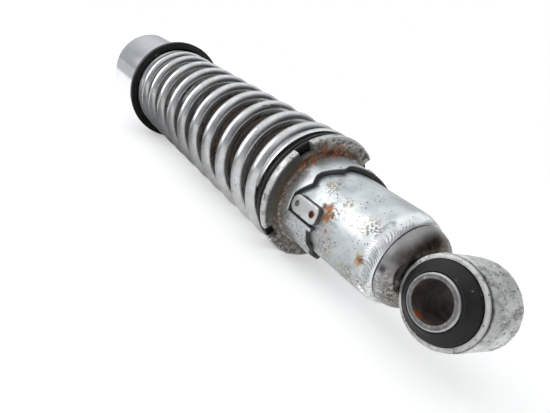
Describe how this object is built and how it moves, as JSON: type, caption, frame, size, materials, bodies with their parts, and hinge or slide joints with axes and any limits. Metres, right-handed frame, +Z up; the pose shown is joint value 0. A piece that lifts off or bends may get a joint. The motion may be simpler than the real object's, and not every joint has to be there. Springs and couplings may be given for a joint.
{
  "type": "rear shock absorber",
  "caption": "Coil-over rear shock absorber: rubber-bushed eye at each end, chromed spring and top cover, stepped preload collar on a silver damper body.",
  "frame": {"origin": "halfway between the two eyes' bore centres, which is the centre of the bounding box", "axes": "+X along the damper from the upper eye to the lower eye, +Y along both eye bores away from the side that faces the viewer, +Z up with the shock lying on its side"},
  "size_m": [0.3532, 0.0672, 0.0672],
  "materials": {
    "eye_paint": "rough silver paint over steel, scratched",
    "body_paint": "silver paint, semi-gloss, with specks and stains",
    "cap_paint": "worn dark paint",
    "weld_metal": "silver paint over a rippled weld",
    "seat_paint": "satin black paint",
    "bright_chrome": "polished",
    "bush_rubber": "satin",
    "sleeve_steel": "turned, with light rust in the bore",
    "plain_steel": "machined",
    "sintered_iron": "matt, porous",
    "guide_bronze": "dull",
    "dark_plastic": "plain"
  },
  "bodies": {
    "upper_unit": {"upper_eye": "eye_paint", "upper_bush_rubber": "bush_rubber", "top_cover": "bright_chrome", "upper_spring_seat": "seat_paint", "coil_spring": "bright_chrome", "bump_stop": "bush_rubber", "bump_stop_washer": "plain_steel", "rod_lock_nut": "plain_steel", "piston_rod": "bright_chrome", "piston": "sintered_iron", "piston_ring": "dark_plastic", "piston_nut": "plain_steel", "valve_shims": "plain_steel", "rebound_stop": "dark_plastic"},
    "upper_sleeve": {"upper_bush_sleeve": "sleeve_steel"},
    "damper_body": {"lower_eye": "eye_paint", "lower_bush_rubber": "bush_rubber", "body_end_cap": "cap_paint", "weld_bead": "weld_metal", "body_tube": "body_paint", "cam_lug_front": "body_paint", "cam_lug_rear": "body_paint", "pressure_tube": "plain_steel", "foot_valve": "sintered_iron", "foot_valve_plate": "plain_steel", "rod_guide": "sintered_iron", "guide_bush": "guide_bronze", "oil_seal": "bush_rubber", "seal_o_ring": "bush_rubber", "gland_nut": "seat_paint", "dust_wiper": "bush_rubber"},
    "lower_sleeve": {"lower_bush_sleeve": "sleeve_steel"},
    "seat_slide": {"lower_spring_seat": "seat_paint"},
    "collar": {"preload_collar": "body_paint"}
  },
  "joints": [
    {"name": "damper_stroke", "type": "slide", "parent": "upper_unit", "child": "damper_body", "axis": [-1, 0, 0], "range_m": [0, 0.06], "deforming": ["coil_spring"]},
    {"name": "preload_lift", "type": "slide", "parent": "damper_body", "child": "seat_slide", "axis": [-1, 0, 0], "range_m": [0, 0.0133], "deforming": ["coil_spring"]},
    {"name": "preload_turn", "type": "hinge", "parent": "seat_slide", "child": "collar", "pos_m": [0.09, 0, 0], "axis": [1, 0, 0], "range_deg": [0, 150]},
    {"name": "upper_bush_twist", "type": "hinge", "parent": "upper_unit", "child": "upper_sleeve", "pos_m": [-0.161, 0, 0], "axis": [0, 1, 0], "range_deg": [-12, 12], "stiffness_Nm_per_rad": 20},
    {"name": "lower_bush_twist", "type": "hinge", "parent": "damper_body", "child": "lower_sleeve", "pos_m": [0.161, 0, 0], "axis": [0, 1, 0], "range_deg": [-12, 12], "stiffness_Nm_per_rad": 20}
  ],
  "couplings": [
    {"joint": "preload_lift", "follows": "preload_turn", "m_per_rad": 0.005042}
  ]
}
